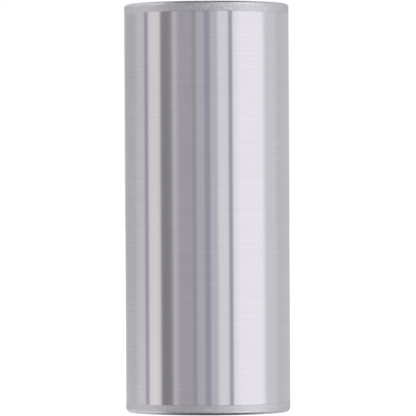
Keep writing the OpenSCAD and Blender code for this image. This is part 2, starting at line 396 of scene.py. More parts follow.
def aged_brass(colour):
    """Turned brass with a light tarnish in patches."""
    material, net = new_material("aged_brass")
    lines = turning_lines(net, 6.0)
    tarnish = grains(net, 0.12, 5.0, 0.6).within(0.46, 0.72)
    dull = rgba((colour[0] * 0.62, colour[1] * 0.52, colour[2] * 0.45))
    return dress(material, net, {
        "Base Color": net.mix(tarnish * 0.75, rgba(colour), dull), "Metallic": 1.0,
        "Roughness": 0.2 + lines * 0.12 + tarnish * 0.16,
    }, lines, 0.004 * MM)


def black_enamel(colour):
    """Enamel wiped into the engraved numbers."""
    material, net = new_material("black_enamel")
    ripple = grains(net, 1.5, 2.0)
    return dress(material, net, {
        "Base Color": net.mix(ripple, rgba(colour), rgba(colour, 2.2)), "Roughness": 0.28 + ripple * 0.15,
    }, ripple, 0.01 * MM)


def seal_rubber():
    """Black O-ring rubber with a little dust."""
    material, net = new_material("ring_rubber")
    dust = grains(net, 1.2, 4.0)
    return dress(material, net, {
        "Base Color": net.mix(dust.within(0.5, 0.9), grey(0.012), grey(0.06)), "Roughness": 0.5 + dust * 0.2,
    }, dust, 0.008 * MM)


def vial_glass():
    """Clear drawn glass with the faintest waves along it."""
    material, net = new_material("drawn_glass")
    waves = grains(net, (0.4, 0.4, 0.03), 2.0)
    return dress(material, net, {
        "Base Color": (0.985, 0.992, 0.99, 1), "Roughness": 0.015 + waves * 0.01,
        "Transmission Weight": 1.0, "IOR": 1.47,
    }, waves, 0.01 * MM)


def stopper_cork(colour):
    """Cork: pale grain, dark pores and short cracks along it."""
    material, net = new_material("stopper_cork")
    grain = grains(net, (1.6, 1.6, 0.9), 5.0, 0.65)
    cells = net.node("ShaderNodeTexVoronoi", {
        "Vector": millimetres(net, (0.9, 0.9, 0.45)), "Scale": 1.0, "Randomness": 1.0})["Distance"]
    pores = 1 - cells.within(0.06, 0.3)
    tone = net.mix(grain.within(0.3, 0.7), rgba(colour, 0.75), rgba(colour, 1.35))
    tone = net.mix(pores * 0.85, tone, rgba(colour, 0.22))
    return dress(material, net, {
        "Base Color": tone, "Roughness": 0.78 + grain * 0.15,
    }, grain * 0.5 - pores, 0.12 * MM)


def note_paper(colour):
    """Old laid paper: chain lines, fibres and browned ends."""
    material, net = new_material("laid_paper")
    fibres = grains(net, (3, 3, 0.6), 5.0, 0.6)
    clouds = grains(net, (0.25, 0.25, 0.12), 4.0)
    height = height_of(net)
    roll = Span("note_scroll")
    half = roll.half / MM
    browned = ((height - roll.mid / MM).math("ABSOLUTE") + clouds * 4).within(half - 1.5, half + 2.5)
    laid = (height * 7).math("SINE")
    tone = net.mix(clouds.within(0.35, 0.7), rgba(colour, 0.86), rgba(colour, 1.1))
    tone = net.mix(browned * 0.8, tone, rgba((colour[0] * 0.55, colour[1] * 0.42, colour[2] * 0.3)))
    return dress(material, net, {
        "Base Color": tone, "Roughness": 0.82 + fibres * 0.1,
    }, fibres + laid * 0.12, 0.03 * MM)


def studio_floor():
    """Pale, faintly lit floor, so that it stays pale right up to the object."""
    return dress(*new_material("studio_floor"), {
        "Base Color": grey(0.86), "Roughness": 0.9, "Emission Color": grey(1.0), "Emission Strength": 0.75,
        "Specular IOR Level": 0.0,
    })


@functools.cache
def finishes():
    """Every finish of the object, made once, by the name of its slot in the record."""
    look = bpy.context.scene.cryptex_finish
    return {
        "polished_steel": polished_steel(look.steel),
        "satin_steel": satin_steel(look.satin),
        "turned_steel": turned_steel(look.satin),
        "dark_steel": oiled_steel(look.dark_steel),
        "hard_steel": hard_steel(look.steel),
        "brass": aged_brass(look.brass),
        "enamel": black_enamel(look.enamel),
        "seal_rubber": seal_rubber(),
        "vial_glass": vial_glass(),
        "cork": stopper_cork(look.cork),
        "note_paper": note_paper(look.paper),
    }


# ---------------------------------------------------------------- outlines


def softened(corners, radius, steps=3, closed=True):
    """The outline with its corners rounded. A corner is (r, z) or (r, z, own radius), and 0 stays sharp.

    Each straight run gets a point near both of its ends, so that it shades flat."""
    count, line = len(corners), []
    for i, corner in enumerate(corners):
        here = Vector(corner[:2])
        own = corner[2] if len(corner) > 2 else radius
        at_end = not closed and i in (0, count - 1)
        before, after = Vector(corners[i - 1][:2]), Vector(corners[(i + 1) % count][:2])
        back, ahead = before - here, after - here
        angle = back.angle(ahead) if not at_end else math.pi
        if own <= 0 or at_end or angle > math.radians(178):
            line.append(here)
            continue
        cut = min(own / math.tan(angle / 2), back.length * 0.45, ahead.length * 0.45)
        start, end = here + back.normalized() * cut, here + ahead.normalized() * cut
        turn = math.pi - angle
        true_radius = cut * math.tan(angle / 2)
        inward = (back.normalized() + ahead.normalized()).normalized()
        centre = here + inward * math.hypot(cut, true_radius)
        line.append(start + back.normalized() * min(cut * 0.6, (back.length - cut) * 0.3))
        for k in range(steps + 1):
            share = k / steps
            first = (start - centre) * math.sin((1 - share) * turn)
            last = (end - centre) * math.sin(share * turn)
            line.append(centre + (first + last) / math.sin(turn))
        line.append(end + ahead.normalized() * min(cut * 0.6, (ahead.length - cut) * 0.3))
    return [(p.x, p.y) for p in line]


def rounded_ring(r, z, section, steps=24):
    """Outline of a ring of round section."""
    turn = 2 * math.pi / steps
    return [(r + section * math.cos(i * turn), z + section * math.sin(i * turn)) for i in range(steps)]


# ---------------------------------------------------------------- Geometry Nodes


def new_tree(name, inputs):
    """The net of a Geometry Nodes tree that takes a mesh and those inputs, and the node that gives them."""
    tree = bpy.data.node_groups.new(name, "GeometryNodeTree")
    tree.interface.new_socket("Geometry", in_out="INPUT", socket_type="NodeSocketGeometry")
    for label, (kind, default) in inputs.items():
        socket = tree.interface.new_socket(label, in_out="INPUT", socket_type="NodeSocket" + kind)
        socket.default_value = default
    tree.interface.new_socket("Material", in_out="INPUT", socket_type="NodeSocketMaterial")
    tree.interface.new_socket("Geometry", in_out="OUTPUT", socket_type="NodeSocketGeometry")
    net = Net(tree)
    return net, net.node("NodeGroupInput")


def close_tree(net, geometry, entry):
    """Ends a tree in Realize Instances and Set Material."""
    real = net.node("GeometryNodeRealizeInstances", {"Geometry": geometry})["Geometry"]
    painted = net.node("GeometryNodeSetMaterial", {"Geometry": real, "Material": entry["Material"]})
    net.node("NodeGroupOutput", {0: painted["Geometry"]})
    return net.tree


def moved_to(net, geometry, position):
    return net.node("GeometryNodeSetPosition", {"Geometry": geometry, "Position": position})["Geometry"]


def set_out(net, points, copy, **turn):
    """The copy on each point, which stays an instance until the tree's end."""
    return net.node("GeometryNodeInstanceOnPoints", {"Points": points, "Instance": copy, **turn})["Instances"]


def swept_mesh(net, line, section):
    return net.node("GeometryNodeCurveToMesh", {
        "Curve": line, "Profile Curve": section, "Fill Caps": True})["Mesh"]


@functools.cache
def turned_tree():
    """Turns the outline in its geometry, drawn on XZ, round the Z axis."""
    net, entry = new_tree("Turned Part", {"Sides": ("Int", ROUND), "Closed Outline": ("Int", 1)})
    outline, sides = entry["Geometry"], entry["Sides"]
    domain = net.node("GeometryNodeAttributeDomainSize", {"Geometry": outline}, component="MESH")
    count = domain["Point Count"]
    grid = net.node("GeometryNodeMeshGrid", {
        "Size X": 1.0, "Size Y": 1.0, "Vertices X": count + entry["Closed Outline"], "Vertices Y": sides + 1,
    })["Mesh"]
    index = net.node("GeometryNodeInputIndex")["Index"]
    row = (index / (sides + 1) + 0.0001).math("FLOOR")
    around = (index - row * (sides + 1)) / sides * (2 * math.pi)
    place = net.node("GeometryNodeInputPosition")["Position"]
    point = net.node("GeometryNodeSampleIndex", {"Geometry": outline, "Value": place, "Index": row % count},
                     data_type="FLOAT_VECTOR", domain="POINT")["Value"]
    parts = net.split(point)
    swept = net.vector(parts["X"] * around.math("COSINE"), parts["X"] * around.math("SINE"), parts["Z"])
    merged = net.node("GeometryNodeMergeByDistance", {
        "Geometry": moved_to(net, grid, swept), "Distance": 0.001 * MM})["Geometry"]
    return close_tree(net, merged, entry)


def wall_points(net):
    """Each point's X, Y and Z, its distance from the axis and its angle round it."""
    parts = net.split(net.node("GeometryNodeInputPosition")["Position"])
    x, y, z = parts["X"], parts["Y"], parts["Z"]
    return x, y, z, (x * x + y * y).math("SQRT"), y.math("ARCTAN2", x)


@functools.cache
def flute_tree():
    """Presses round grip flutes into the wall at the given radius, halfway between the numbers."""
    net, entry = new_tree("Grip Flutes", {
        "Count": ("Int", 12), "Wall Radius": ("Float", 0.0225), "Flute Radius": ("Float", 0.0012),
        "Depth": ("Float", 0.00035)})
    x, y, z, radius, angle = wall_points(net)
    step = 2 * math.pi / entry["Count"]
    off = ((angle - FRONT) % step - step / 2).math("ABSOLUTE")
    reach = entry["Wall Radius"] + entry["Flute Radius"] - entry["Depth"]
    side = reach * off.math("SINE")
    under = (entry["Flute Radius"] ** 2 - side * side).math("MAXIMUM", 0.0)
    wall = reach * off.math("COSINE") - under.math("SQRT")
    inside = side.math("LESS_THAN", entry["Flute Radius"])
    pressed = radius.math("MINIMUM", wall)
    ratio = 1 + inside * (pressed / radius.math("MAXIMUM", 1e-6) - 1)
    return close_tree(net, moved_to(net, entry["Geometry"], net.vector(x * ratio, y * ratio, z)), entry)


@functools.cache
def knurl_tree():
    """Cuts crossed knurling between two heights into the wall at the given radius."""
    net, entry = new_tree("Diamond Knurl", {
        "Count": ("Int", 72), "Wall Radius": ("Float", 0.0223), "Low": ("Float", 0.0),
        "High": ("Float", 0.01), "Depth": ("Float", 0.0004)})
    x, y, z, radius, angle = wall_points(net)
    low, high, deep, wall = entry["Low"], entry["High"], entry["Depth"], entry["Wall Radius"]
    turns = angle / (2 * math.pi) * entry["Count"]
    rise = (z - low) / (2 * math.pi * wall) * entry["Count"]
    ridges = [((turns + rise * lean) % 1 - 0.5).math("ABSOLUTE") * 2 for lean in (0.5, -0.5)]
    groove = ridges[0].math("MAXIMUM", ridges[1])
    depth = (groove - 0.35).math("MAXIMUM", 0.0) / 0.65 * deep
    run_out = deep * 1.6
    held = z.within(low, low + run_out) * (1 - z.within(high - run_out, high))
    at_wall = radius.math("GREATER_THAN", wall - 0.02 * MM)
    ratio = 1 - depth * held * at_wall / radius.math("MAXIMUM", 1e-6)
    return close_tree(net, moved_to(net, entry["Geometry"], net.vector(x * ratio, y * ratio, z)), entry)


@functools.cache
def spring_tree():
    """Winds a compression spring along +Y from its geometry's points."""
    net, entry = new_tree("Coil Spring", {
        "Coils": ("Float", 4.0), "Radius": ("Float", 0.001), "Length": ("Float", 0.002),
        "Wire": ("Float", 0.0001)})
    coil = net.node("GeometryNodeCurveSpiral", {
        "Resolution": 28, "Rotations": entry["Coils"], "Start Radius": entry["Radius"],
        "End Radius": entry["Radius"], "Height": entry["Length"]})["Curve"]
    section = net.node("GeometryNodeCurvePrimitiveCircle", {
        "Resolution": 10, "Radius": entry["Wire"]})["Curve"]
    laid = net.node("GeometryNodeTransform", {
        "Geometry": swept_mesh(net, coil, section), "Rotation": (-math.pi / 2, 0, 0)})["Geometry"]
    return close_tree(net, set_out(net, entry["Geometry"], laid), entry)


@functools.cache
def scatter_tree():
    """Sets a copy of one object on each point, its +Z turned to the point's aim."""
    net, entry = new_tree("Set On Points", {"Pattern": ("Object", None)})
    pattern = net.node("GeometryNodeObjectInfo", {"Object": entry["Pattern"]}, transform_space="ORIGINAL")
    aim = net.node("GeometryNodeInputNamedAttribute", {"Name": "aim"}, data_type="FLOAT_VECTOR")["Attribute"]
    turn = net.node("FunctionNodeAlignRotationToVector", {"Vector": aim}, axis="Z")["Rotation"]
    return close_tree(net, set_out(net, entry["Geometry"], pattern["Geometry"], Rotation=turn), entry)


@functools.cache
def roll_tree():
    """Rolls a sheet of paper up round the Z axis, standing on its geometry's point."""
    net, entry = new_tree("Paper Roll", {
        "Turns": ("Float", 9.0), "Inner Radius": ("Float", 0.002), "Outer Radius": ("Float", 0.0075),
        "Length": ("Float", 0.06), "Thickness": ("Float", 0.00016)})
    line = net.node("GeometryNodeCurveSpiral", {
        "Resolution": 40, "Rotations": entry["Turns"], "Start Radius": entry["Inner Radius"],
        "End Radius": entry["Outer Radius"], "Height": 0.0})["Curve"]
    section = net.node("GeometryNodeCurvePrimitiveQuadrilateral", {
        "Width": entry["Thickness"], "Height": entry["Length"]})["Curve"]
    return close_tree(net, set_out(net, entry["Geometry"], swept_mesh(net, line, section)), entry)


# ---------------------------------------------------------------- making and joining pieces


def new_object(name, mesh):
    piece = bpy.data.objects.new(name, mesh)
    bpy.context.scene.collection.objects.link(piece)
    return piece


def points_object(name, points, edges=()):
    """An object of bare points, or of points and the lines between them."""
    mesh = bpy.data.meshes.new(name)
    mesh.from_pydata(points, edges, [])
    return new_object(name, mesh)


def evaluated_mesh(piece):
    """A plain mesh of the piece, with its modifiers or its text worked out."""
    bpy.context.view_layer.update()
    return bpy.data.meshes.new_from_object(piece.evaluated_get(bpy.context.evaluated_depsgraph_get()))


def settle(piece):
    """Turns the piece's modifiers into its plain mesh."""
    mesh = evaluated_mesh(piece)
    piece.modifiers.clear()
    used = {face.material_index for face in mesh.polygons}
    for unused in sorted(set(range(len(mesh.materials))) - used, reverse=True):
        mesh.materials.pop(index=unused)
    piece.data = mesh
    return piece


def grow(piece, tree_maker, slot, **values):
    """Runs a Geometry Nodes tree on the piece and keeps the result. Inputs are named with underscores."""
    tree = tree_maker()
    modifier = piece.modifiers.new(tree.name, "NODES")
    modifier.node_group = tree
    sockets = {item.name: item.identifier for item in tree.interface.items_tree
               if item.item_type == "SOCKET" and item.in_out == "INPUT"}
    for label, value in values.items():
        modifier[sockets[label.replace("_", " ")]] = value
    modifier[sockets["Material"]] = finishes()[slot]
    return settle(piece)


def tidy(piece, sharp=38.0):
    """Closes seams, drops stray edges, points faces outwards and shades by angle."""
    work = bmesh.new()
    work.from_mesh(piece.data)
    bmesh.ops.remove_doubles(work, verts=work.verts, dist=0.0005 * MM)
    bmesh.ops.dissolve_degenerate(work, edges=work.edges, dist=0.0002 * MM)
    bmesh.ops.delete(work, geom=[e for e in work.edges if not e.link_faces], context="EDGES")
    bmesh.ops.delete(work, geom=[v for v in work.verts if not v.link_faces], context="VERTS")
    bmesh.ops.recalc_face_normals(work, faces=work.faces)
    work.to_mesh(piece.data)
    work.free()
    piece.data.shade_smooth()
    piece.data.set_sharp_from_angle(angle=math.radians(sharp))
    return piece


def turned(name, outline, slot, sides=ROUND, closed=True):
    """A part turned from an outline of (radius, height) points, in metres."""
    count = len(outline)
    edges = [(i, (i + 1) % count) for i in range(count if closed else count - 1)]
    piece = points_object(name, [(r, 0, z) for r, z in outline], edges)
    return tidy(grow(piece, turned_tree, slot, Sides=sides, Closed_Outline=int(closed)))


def wall_corners(span):
    """The four corners of a plain tube's wall."""
    return [(span.r_in, span.low), (span.r_out, span.low), (span.r_out, span.high), (span.r_in, span.high)]


def tube(name, corners, slot, soft, steps=3, sides=ROUND):
    """A turned part that is open along the axis, from the corners of its wall."""
    return turned(name, softened(corners, soft, steps), slot, sides)


def solid(name, corners, slot, soft, steps=3, sides=ROUND):
    """A turned part without a bore. Its corners start and end on the axis."""
    return turned(name, softened(corners, soft, steps, closed=False), slot, sides, closed=False)


def rod(name, r, low, high, slot, soft=0.1 * MM, sides=SMALL_ROUND):
    """A plain solid rod on the Z axis."""
    return solid(name, [(0, low), (r, low), (r, high), (0, high)], slot, soft, sides=sides)


def move(piece, matrix):
    piece.data.transform(matrix)
    return piece


def aimed(angle, z, start=0.0):
    """The place of a rod that points away from the axis: its own +Z goes outwards from that radius."""
    out = Vector((math.cos(angle), math.sin(angle), 0))
    turn = Vector((0, 0, 1)).rotation_difference(out).to_matrix().to_4x4()
    return Matrix.Translation(out * start + Vector((0, 0, z))) @ turn


def cut(piece, *tools, keep_paint=False):
    """Cuts closed tools out of the piece, and removes the tools."""
    for tool in tools:
        modifier = piece.modifiers.new("cut", "BOOLEAN")
        modifier.operation, modifier.solver, modifier.object = "DIFFERENCE", "MANIFOLD", tool
        modifier.material_mode = "TRANSFER" if keep_paint else "INDEX"
    settle(piece)
    for tool in tools:
        bpy.data.objects.remove(tool)
    return tidy(piece)


def pin_hole(node):
    """A tool that drills the front seat of an index pin, a little past the wall."""
    pin = Span(node)
    hole = rod("hole", pin.half + 0.03 * MM, -0.05 * MM, pin.wall + MM, "dark_steel", 0)
    return move(hole, aimed(FRONT, pin.mid, pin.r_in))


def block(name, angle, width, r_from, r_to, low, high):
    """A box on a radius, for cutting slots and notches."""
    mesh = bpy.data.meshes.new(name)
    work = bmesh.new()
    bmesh.ops.create_cube(work, size=1)
    size = Vector((r_to - r_from, width, high - low))
    centre = Vector(((r_from + r_to) / 2, 0, (low + high) / 2))
    work.transform(Matrix.Rotation(angle, 4, "Z") @ Matrix.Translation(centre) @ Matrix.Diagonal((*size, 1)))
    work.to_mesh(mesh)
    work.free()
    return new_object(name, mesh)


def fit(piece, body, node):
    """The piece rides on its body and stands for its CAD node."""
    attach(piece, body)
    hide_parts(node)


def repaint(*nodes):
    """Gives CAD nodes whose shape is right the detailed finish of their slot."""
    slots = {row["node"]: row["material_slot"] for row in frame["record"]["subparts"]}
    for node in nodes:
        shape = frame["nodes"][node]
        shape.data.materials.clear()
        shape.data.materials.append(finishes()[slots[node]])


# ---------------------------------------------------------------- operators: the sleeve and the base


class PieceOperator(bpy.types.Operator):
    """Base of the operators that make pieces."""

    bl_options = {"REGISTER", "UNDO"}

    def execute(self, context):
        self.make()
        return {"FINISHED"}


class CRYPTEX_OT_sleeve(PieceOperator):
    """Turns the polished sleeve"""

    bl_idname = "cryptex.sleeve"
    bl_label = "Polished Sleeve"

    def make(self):
        corners = wall_corners(Span("cover_sleeve"))
        piece = tube("polished_sleeve", corners, "polished_steel", sizes().seam_break, sides=2 * ROUND)
        fit(piece, "sleeve", "cover_sleeve")


class CRYPTEX_OT_bezel(PieceOperator):
    """Turns the satin band at the top, with its spigot in the sleeve"""

    bl_idname = "cryptex.bezel"
    bl_label = "Top Bezel"

    def make(self):
        sleeve, bezel, wanted = Span("cover_sleeve"), Span("top_bezel"), sizes()
        piece = tube("satin_bezel", [
            (bezel.r_in, bezel.low), (sleeve.r_in, bezel.low), (sleeve.r_in, sleeve.high, 0),
            (bezel.r_out, sleeve.high, wanted.seam_break), (bezel.r_out, bezel.high, wanted.band_round),
            (bezel.r_in, bezel.high)], "satin_steel", wanted.edge_break, steps=8, sides=2 * ROUND)
        fit(piece, "sleeve", "top_bezel")


class CRYPTEX_OT_base(PieceOperator):
    """Turns the base with its foot band, spigot, groove and screw holes"""

    bl_idname = "cryptex.base"
    bl_label = "Base"

    def make(self):
        sleeve, cap, seal = Span("cover_sleeve"), Span("base_cap"), Span("base_o_ring")
        carrier, plug, wanted = Span("ring_carrier"), Span("core_plug"), sizes()
        spigot = sleeve.r_in - 0.05 * MM
        foot = carrier.r_out + SLIP
        pocket = plug.r_out + 0.2 * MM
        groove, lip = seal.r_in - SLIP, 0.2 * MM
        floor = plug.low - 0.5 * MM
        piece = solid("satin_base", [
            (0, 0), (cap.r_out, 0, wanted.band_round), (cap.r_out, sleeve.low, wanted.seam_break),
            (spigot, sleeve.low, 0), (spigot, seal.low - lip), (groove, seal.low - lip, 0),
            (groove, seal.high + lip, 0), (spigot, seal.high + lip), (spigot, cap.high, 0.5 * MM),
            (foot, cap.high), (foot, carrier.low, 0), (pocket, carrier.low), (pocket, floor, 0), (0, floor),
        ], "satin_steel", wanted.edge_break, steps=8, sides=2 * ROUND)
        cut(piece, *self.screw_holes(cap.high), pin_hole("lower_index_pin"))
        fit(piece, "base", "base_cap")

    @staticmethod
    def screw_holes(top):
        """Countersunk clearance holes round the screws, up to that height."""
        low = Span("base_screws").low
        head, shank = screw_radii()
        outline = [(0, -MM), (head + 0.15 * MM, -MM), (head + 0.15 * MM, low),
                   (shank + 0.1 * MM, low + head - shank + 0.45 * MM), (shank + 0.1 * MM, top), (0, top)]
        return [move(turned("hole", outline, "satin_steel", SMALL_ROUND, closed=False),
                     Matrix.Translation((x, y, 0))) for x, y in screw_centres()]


def loose_parts(node):
    """The separate solids of a node, as lists of points, in turn round the axis."""
    work = bmesh.new()
    work.from_mesh(frame["nodes"][node].data)
    bmesh.ops.remove_doubles(work, verts=work.verts, dist=0.001 * MM)
    seen, groups = set(), []
    for first in work.verts:
        if first in seen:
            continue
        seen.add(first)
        group = [first]
        for vertex in group:    # the group grows while it is walked
            for edge in vertex.link_edges:
                other = edge.other_vert(vertex)
                if other not in seen:
                    seen.add(other)
                    group.append(other)
        groups.append([v.co.copy() for v in group])
    work.free()
    return sorted(groups, key=lambda points: round(math.atan2(points[0].y, points[0].x), 3))


def screw_centres():
    """X and Y of the middle of each base screw."""
    return [((min(p.x for p in points) + max(p.x for p in points)) / 2,
             (min(p.y for p in points) + max(p.y for p in points)) / 2)
            for points in loose_parts("base_screws")]


def screw_radii():
    """Radii of the head and of the shank of the base screws."""
    x, y = screw_centres()[0]
    points, top = loose_parts("base_screws")[0], Span("base_screws").high
    reach = [(math.hypot(p.x - x, p.y - y), p.z) for p in points]
    return max(r for r, _ in reach), max(r for r, z in reach if z > top - 0.1 * MM)


class CRYPTEX_OT_seals(PieceOperator):
    """Moulds the two rubber O-rings"""

    bl_idname = "cryptex.seals"
    bl_label = "O-Rings"

    def make(self):
        seals = (("sleeve_seal", "base_o_ring", "base"), ("plug_seal", "plug_o_ring", "core"))
        for name, node, body in seals:
            seal = Span(node)
            outline = rounded_ring(seal.r_out - seal.half, seal.mid, seal.half)
            fit(turned(name, outline, "seal_rubber"), body, node)


class CRYPTEX_OT_collar(PieceOperator):
    """Turns the collar that keeps the rings on, and cuts its pin notch and screw holes"""

    bl_idname = "cryptex.collar"
    bl_label = "Retaining Collar"

    def make(self):
        collar, pin = Span("retaining_collar"), Span("lock_pin_1")
        piece = tube("turned_collar", [
            (collar.r_in, collar.low), (collar.r_out, collar.low),
            (collar.r_out, collar.high, 0.8 * MM), (collar.r_in, collar.high)],
            "turned_steel", sizes().edge_break, steps=5)
        notch = block("notch", FRONT, PIN_NOTCH, collar.r_in - MM, pin.r_out + 0.4 * MM,
                      collar.low - MM, collar.high + MM)
        holes = [move(rod("hole", GRUB_HOLE, -MM, MM + collar.wall, "satin_steel", 0),
                      aimed(math.radians(angle), collar.mid, collar.r_in)) for angle in COLLAR_HOLES]
        cut(piece, notch, *holes, pin_hole("upper_index_pin"))
        fit(piece, "base", "retaining_collar")


class CRYPTEX_OT_index_pins(PieceOperator):
    """Sets the two brass pins that mark where the code is read"""

    bl_idname = "cryptex.index_pins"
    bl_label = "Index Pins"

    def make(self):
        for name, node in (("upper_mark", "upper_index_pin"), ("lower_mark", "lower_index_pin")):
            pin = Span(node)
            piece = rod(name, pin.half, 0, pin.wall, "brass", 0.2 * MM)
            fit(move(piece, aimed(FRONT, pin.mid, pin.r_in)), "base", node)


# ---------------------------------------------------------------- operators: fasteners and springs


def screw_pattern(name, head_r, shank_r, head, length, socket):
    """One screw that stands on the Z axis, its socket at the top, ready to be set on points."""
    if head_r > shank_r:
        top = [(shank_r, -length), (shank_r, -head), (head_r, -0.15 * MM), (head_r, 0)]
    else:
        top = [(shank_r * 0.6, -length), (shank_r, -length + shank_r * 0.5), (shank_r, 0)]
    piece = solid(name, [(0, -length), *top, (0, 0)], "dark_steel", 0.08 * MM, sides=SMALL_ROUND)
    return cut(piece, rod("key", socket, -1.1 * MM, MM, "dark_steel", 0, sides=6))


def set_screws(name, node, body, points, pattern):
    """Copies of a screw at (place, aim) points in place of a node. The pattern is used up."""
    piece = points_object(name, [place for place, _ in points])
    aim = piece.data.attributes.new("aim", "FLOAT_VECTOR", "POINT")
    for i, (_, direction) in enumerate(points):
        aim.data[i].vector = direction
    fit(tidy(grow(piece, scatter_tree, "dark_steel", Pattern=pattern)), body, node)
    bpy.data.objects.remove(pattern)


class CRYPTEX_OT_screws(PieceOperator):
    """Sets the countersunk base screws and the grub screws of the collar and the rings"""

    bl_idname = "cryptex.screws"
    bl_label = "Screws"

    def make(self):
        span = Span("base_screws")
        head, shank = screw_radii()
        pattern = screw_pattern("base_screw", head, shank, 1.7 * MM, span.high - span.low, shank * 0.62)
        down = [(Vector((x, y, span.low)), Vector((0, 0, -1))) for x, y in screw_centres()]
        set_screws("countersunk_screws", "base_screws", "base", down, pattern)
        self.grub_screws("collar_grub_screws", "collar_screws", "base")
        for k in RINGS:
            self.grub_screws(f"ring_grub_screw_{k}", f"ring_screw_{k}", f"ring_{k}")

    @staticmethod
    def grub_screws(name, node, body):
        """Hexagon-socket grub screws in place of a node's radial ones."""
        span, points = Span(node), []
        for part in loose_parts(node):
            middle = sum(part, Vector()) / len(part)
            out = Vector((middle.x, middle.y, 0)).normalized()
            points.append((out * span.r_out + Vector((0, 0, span.mid)), out))
        pattern = screw_pattern("grub", span.half, span.half, 0, span.wall, span.half * 0.55)
        set_screws(name, node, body, points, pattern)


class CRYPTEX_OT_springs(PieceOperator):
    """Winds the detent springs"""

    bl_idname = "cryptex.springs"
    bl_label = "Detent Springs"

    def make(self):
        wire = 0.13 * MM
        for k in RINGS:
            low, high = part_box(f"detent_spring_{k}")
            piece = points_object(f"ball_spring_{k}", [(0, low.y + wire, (low.z + high.z) / 2)])
            grow(piece, spring_tree, "hard_steel", Coils=4.5, Radius=(high.x - low.x) / 2 - wire,
                 Length=high.y - low.y - 2 * wire, Wire=wire)
            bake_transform(tidy(piece))
            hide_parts(f"detent_spring_{k}")


# ---------------------------------------------------------------- operators: the rings


def numeral_tools(wall, middle, height, depth):
    """Closed solids of the numbers round a ring, number 1 at the front, each bent to the wall."""
    work = bmesh.new()
    count = sizes().positions
    for i in range(count):
        text = bpy.data.curves.new("numeral", "FONT")
        text.body, text.align_x, text.align_y = str(i + 1), "CENTER", "CENTER"
        text.size, text.resolution_u, text.space_character = height * 1.36, 5, 0.94
        text.offset = height * 0.012
        shape = new_object("numeral", text)
        flat = evaluated_mesh(shape)
        bpy.data.objects.remove(shape)
        bend_numeral(work, flat, FRONT + i * 2 * math.pi / count, wall, middle, depth)
    mesh = bpy.data.meshes.new("numerals")
    bmesh.ops.recalc_face_normals(work, faces=work.faces)
    work.to_mesh(mesh)
    work.free()
    mesh.materials.append(finishes()["enamel"])
    return new_object("numerals", mesh)


def bend_numeral(work, flat, angle, wall, middle, depth):
    """Slices one flat number into narrow strips, thickens it and wraps it on the wall."""
    strip, proud = 0.45 * MM, 0.4 * MM
    one = bmesh.new()
    one.from_mesh(flat)
    bmesh.ops.remove_doubles(one, verts=one.verts, dist=0.001 * MM)
    middle_y = (min(v.co.y for v in one.verts) + max(v.co.y for v in one.verts)) / 2
    reach = max(abs(v.co.x) for v in one.verts)
    for k in range(-int(reach / strip), int(reach / strip) + 1):
        bmesh.ops.bisect_plane(one, geom=one.verts[:] + one.edges[:] + one.faces[:],
                               plane_co=(k * strip, 0, 0), plane_no=(1, 0, 0))
    grown = bmesh.ops.extrude_face_region(one, geom=one.faces[:])
    for element in grown["geom"]:
        if isinstance(element, bmesh.types.BMVert):
            element.co.z += depth + proud
    for vertex in one.verts:
        turn = angle + vertex.co.x / wall
        radius = wall - depth + vertex.co.z
        vertex.co = (radius * math.cos(turn), radius * math.sin(turn), middle + vertex.co.y - middle_y)
    mesh = bpy.data.meshes.new("bent")
    one.to_mesh(mesh)
    one.free()
    work.from_mesh(mesh)
    bpy.data.meshes.remove(mesh)


class CRYPTEX_OT_digit_rings(PieceOperator):
    """Turns a digit ring, flutes it and engraves its numbers, then turns a copy of it to each code number"""

    bl_idname = "cryptex.digit_rings"
    bl_label = "Digit Rings"

    def make(self):
        wanted, first, chamfer = sizes(), Span("digit_ring_1"), 0.6 * MM
        r = first.r_out
        pattern = tube("digit_ring", [
            (first.r_in, first.low), (r - chamfer, first.low), (r, first.low + chamfer),
            (r, first.high - chamfer), (r - chamfer, first.high), (first.r_in, first.high),
        ], "turned_steel", wanted.edge_break, sides=3 * ROUND)
        grow(pattern, flute_tree, "turned_steel", Count=wanted.positions, Wall_Radius=r,
             Flute_Radius=1.2 * MM, Depth=0.35 * MM)
        cut(pattern, numeral_tools(r, first.mid, wanted.numeral, wanted.engraving), keep_paint=True)
        step = 2 * math.pi / wanted.positions
        for k in RINGS:
            here = Span(f"digit_ring_{k}")
            piece = new_object(f"numbered_ring_{k}", pattern.data.copy())
            turn = Matrix.Rotation(-step * (wanted.code[k - 1] - 1), 4, "Z")
            move(piece, Matrix.Translation((0, 0, here.low - first.low)) @ turn)
            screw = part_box(f"ring_screw_{k}")
            angle = math.atan2(screw[0].y + screw[1].y, screw[0].x + screw[1].x)
            hole = rod("hole", GRUB_HOLE, -MM, 2 * MM + here.wall, "satin_steel", 0)
            cut(piece, move(hole, aimed(angle, (screw[0].z + screw[1].z) / 2, here.r_in)))
            fit(piece, f"ring_{k}", f"digit_ring_{k}")
        bpy.data.objects.remove(pattern)


class CRYPTEX_OT_inner_rings(PieceOperator):
    """Finishes the code rings, washers, carrier and detent balls, whose shapes are already right"""

    bl_idname = "cryptex.inner_rings"
    bl_label = "Inner Rings"

    def make(self):
        repaint("ring_carrier", *[f"spacer_washer_{k}" for k in range(1, len(RINGS) + 2)],
                *[f"code_ring_{k}" for k in RINGS], *[f"detent_ball_{k}" for k in RINGS])


# ---------------------------------------------------------------- operators: the core


